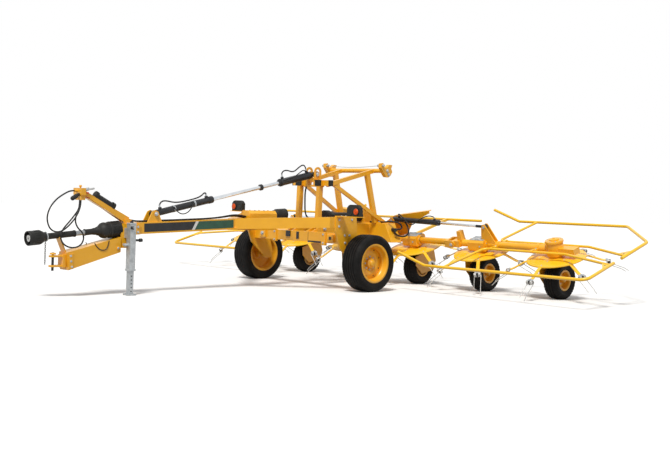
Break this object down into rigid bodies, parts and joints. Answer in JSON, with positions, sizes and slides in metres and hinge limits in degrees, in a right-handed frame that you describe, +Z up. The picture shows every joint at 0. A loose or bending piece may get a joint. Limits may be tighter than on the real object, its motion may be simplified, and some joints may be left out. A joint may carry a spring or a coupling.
{
  "type": "trailed hay tedder",
  "caption": "Trailed hay tedder in yellow: drawbar on a jack, two transport wheels, a folding lift tower, hinged wings of tined rotors with tube guards.",
  "frame": {"origin": "On the floor under the middle of the machine's length and width.", "axes": "X forward to the hitch, Y to the machine's left, Z up."},
  "size_m": [6.9406, 8.2388, 1.758],
  "materials": {
    "yellow_paint": "satin",
    "steel": "satin",
    "chrome": "gloss",
    "black_paint": "satin",
    "black_plastic": "matte",
    "galvanised": "matte",
    "tyre_rubber": "matte",
    "amber_lens": "gloss"
  },
  "bodies": {
    "chassis": {"drawbar": "yellow_paint", "frame_legs": "yellow_paint", "wheel_brackets": "yellow_paint", "axle_beam": "yellow_paint", "hitch_tongue": "yellow_paint", "hitch_clevis": "yellow_paint", "drive_guard": "black_plastic", "jack_tube": "galvanised", "hose_holder": "yellow_paint", "document_tube": "black_plastic", "lamps": "black_plastic", "lamp_lenses": "amber_lens", "line_bell": "black_plastic", "hose_long": "black_plastic", "hose_short": "black_plastic"},
    "lift_frame": {"lift_frame": "yellow_paint", "tower": "yellow_paint", "centre_beam": "yellow_paint", "centre_gearboxes": "yellow_paint", "centre_guard": "yellow_paint", "wheel_legs_centre": "yellow_paint", "line_tube": "black_plastic"},
    "jack_leg": {"jack_leg": "galvanised"},
    "drive_yoke": {"drive_yoke": "steel"},
    "lift_barrel": {"lift_barrel": "black_paint"},
    "lift_rod": {"lift_rod": "chrome"},
    "wing_left": {"wing_left_beam": "yellow_paint", "wing_left_gearboxes": "yellow_paint", "wing_left_guards": "yellow_paint", "wheel_legs_left": "yellow_paint"},
    "wheel_left": {"tyre_left": "tyre_rubber", "rim_left": "yellow_paint"},
    "fold_barrel_left": {"fold_barrel_left": "black_paint"},
    "fold_rod_left": {"fold_rod_left": "chrome"},
    "wing_right": {"wing_right_beam": "yellow_paint", "wing_right_gearboxes": "yellow_paint", "wing_right_guards": "yellow_paint", "wheel_legs_right": "yellow_paint"},
    "wheel_right": {"tyre_right": "tyre_rubber", "rim_right": "yellow_paint"},
    "fold_barrel_right": {"fold_barrel_right": "black_paint"},
    "fold_rod_right": {"fold_rod_right": "chrome"},
    "rotor_1": {"rotor_1": "yellow_paint"},
    "rotor_wheel_1": {"rotor_tyre_1": "tyre_rubber", "rotor_rim_1": "yellow_paint"},
    "rotor_2": {"rotor_2": "yellow_paint"},
    "rotor_wheel_2": {"rotor_tyre_2": "tyre_rubber", "rotor_rim_2": "yellow_paint"},
    "rotor_3": {"rotor_3": "yellow_paint"},
    "rotor_wheel_3": {"rotor_tyre_3": "tyre_rubber", "rotor_rim_3": "yellow_paint"},
    "rotor_4": {"rotor_4": "yellow_paint"},
    "rotor_wheel_4": {"rotor_tyre_4": "tyre_rubber", "rotor_rim_4": "yellow_paint"},
    "rotor_5": {"rotor_5": "yellow_paint"},
    "rotor_wheel_5": {"rotor_tyre_5": "tyre_rubber", "rotor_rim_5": "yellow_paint"},
    "rotor_6": {"rotor_6": "yellow_paint"},
    "rotor_wheel_6": {"rotor_tyre_6": "tyre_rubber", "rotor_rim_6": "yellow_paint"}
  },
  "joints": [
    {"name": "lift", "type": "hinge", "parent": "chassis", "child": "lift_frame", "pos_m": [-0.898, 0, 0.8], "axis": [0, 1, 0], "range_deg": [0, 55]},
    {"name": "fold_left", "type": "hinge", "parent": "lift_frame", "child": "wing_left", "pos_m": [-2.418, 1.4, 0.66], "axis": [0.9563, 0, -0.2924], "range_deg": [0, 88]},
    {"name": "wheel_left", "type": "hinge", "parent": "chassis", "child": "wheel_left", "pos_m": [-0.898, 1.13, 0.38], "axis": [0, 1, 0], "continuous": true},
    {"name": "fold_right", "type": "hinge", "parent": "lift_frame", "child": "wing_right", "pos_m": [-2.418, -1.4, 0.66], "axis": [-0.9563, 0, 0.2924], "range_deg": [0, 88]},
    {"name": "wheel_right", "type": "hinge", "parent": "chassis", "child": "wheel_right", "pos_m": [-0.898, -1.13, 0.38], "axis": [0, 1, 0], "continuous": true},
    {"name": "rotor_1", "type": "hinge", "parent": "wing_left", "child": "rotor_1", "pos_m": [-2.45016, 3.0475, 0.55481], "axis": [0.2924, 0, 0.9563], "continuous": true},
    {"name": "rotor_wheel_1", "type": "hinge", "parent": "wing_left", "child": "rotor_wheel_1", "pos_m": [-2.54335, 3.0475, 0.25], "axis": [0, 1, 0], "continuous": true},
    {"name": "rotor_2", "type": "hinge", "parent": "wing_left", "child": "rotor_2", "pos_m": [-2.45016, 1.8285, 0.55481], "axis": [0.2924, 0, 0.9563], "continuous": true},
    {"name": "rotor_wheel_2", "type": "hinge", "parent": "wing_left", "child": "rotor_wheel_2", "pos_m": [-2.54335, 1.8285, 0.25], "axis": [0, 1, 0], "continuous": true},
    {"name": "rotor_3", "type": "hinge", "parent": "lift_frame", "child": "rotor_3", "pos_m": [-2.45016, 0.6095, 0.55481], "axis": [0.2924, 0, 0.9563], "continuous": true},
    {"name": "rotor_wheel_3", "type": "hinge", "parent": "lift_frame", "child": "rotor_wheel_3", "pos_m": [-2.54335, 0.6095, 0.25], "axis": [0, 1, 0], "continuous": true},
    {"name": "rotor_4", "type": "hinge", "parent": "lift_frame", "child": "rotor_4", "pos_m": [-2.45016, -0.6095, 0.55481], "axis": [0.2924, 0, 0.9563], "continuous": true},
    {"name": "rotor_wheel_4", "type": "hinge", "parent": "lift_frame", "child": "rotor_wheel_4", "pos_m": [-2.54335, -0.6095, 0.25], "axis": [0, 1, 0], "continuous": true},
    {"name": "rotor_5", "type": "hinge", "parent": "wing_right", "child": "rotor_5", "pos_m": [-2.45016, -1.8285, 0.55481], "axis": [0.2924, 0, 0.9563], "continuous": true},
    {"name": "rotor_wheel_5", "type": "hinge", "parent": "wing_right", "child": "rotor_wheel_5", "pos_m": [-2.54335, -1.8285, 0.25], "axis": [0, 1, 0], "continuous": true},
    {"name": "rotor_6", "type": "hinge", "parent": "wing_right", "child": "rotor_6", "pos_m": [-2.45016, -3.0475, 0.55481], "axis": [0.2924, 0, 0.9563], "continuous": true},
    {"name": "rotor_wheel_6", "type": "hinge", "parent": "wing_right", "child": "rotor_wheel_6", "pos_m": [-2.54335, -3.0475, 0.25], "axis": [0, 1, 0], "continuous": true},
    {"name": "drive_yoke", "type": "hinge", "parent": "chassis", "child": "drive_yoke", "pos_m": [3.462, 0, 0.675], "axis": [0.9957, 0, -0.0928], "continuous": true},
    {"name": "jack", "type": "slide", "parent": "chassis", "child": "jack_leg", "axis": [0, 0, 1], "range_m": [0, 0.24]},
    {"name": "lift_barrel", "type": "hinge", "parent": "chassis", "child": "lift_barrel", "pos_m": [1.792, 0, 0.97], "axis": [0, -1, 0], "range_deg": [0, 4.79]},
    {"name": "lift_rod", "type": "slide", "parent": "lift_barrel", "child": "lift_rod", "axis": [0.9769, 0, -0.2135], "range_m": [0, 0.67249]},
    {"name": "fold_barrel_left", "type": "hinge", "parent": "lift_frame", "child": "fold_barrel_left", "pos_m": [-2.33029, 0.29, 0.94689], "axis": [0.9563, 0, -0.2924], "range_deg": [0, 18.61]},
    {"name": "fold_rod_left", "type": "slide", "parent": "fold_barrel_left", "child": "fold_rod_left", "axis": [0.0079, -0.9996, 0.0258], "range_m": [0, 0.75561]},
    {"name": "fold_barrel_right", "type": "hinge", "parent": "lift_frame", "child": "fold_barrel_right", "pos_m": [-2.33029, -0.29, 0.94689], "axis": [-0.9563, 0, 0.2924], "range_deg": [0, 18.61]},
    {"name": "fold_rod_right", "type": "slide", "parent": "fold_barrel_right", "child": "fold_rod_right", "axis": [0.0079, 0.9996, 0.0258], "range_m": [0, 0.75561]}
  ],
  "couplings": [
    {"joint": "rotor_1", "follows": "rotor_3", "ratio": 1},
    {"joint": "rotor_2", "follows": "rotor_3", "ratio": -1},
    {"joint": "rotor_4", "follows": "rotor_3", "ratio": -1},
    {"joint": "rotor_5", "follows": "rotor_3", "ratio": 1},
    {"joint": "rotor_6", "follows": "rotor_3", "ratio": -1},
    {"joint": "drive_yoke", "follows": "rotor_3", "ratio": 3},
    {"joint": "lift_barrel", "follows": "lift", "ratio": 0.087175},
    {"joint": "lift_rod", "follows": "lift", "m_per_rad": 0.70056},
    {"joint": "fold_barrel_left", "follows": "fold_left", "ratio": 0.21149},
    {"joint": "fold_rod_left", "follows": "fold_left", "m_per_rad": 0.49197},
    {"joint": "fold_barrel_right", "follows": "fold_right", "ratio": 0.21149},
    {"joint": "fold_rod_right", "follows": "fold_right", "m_per_rad": 0.49197}
  ]
}
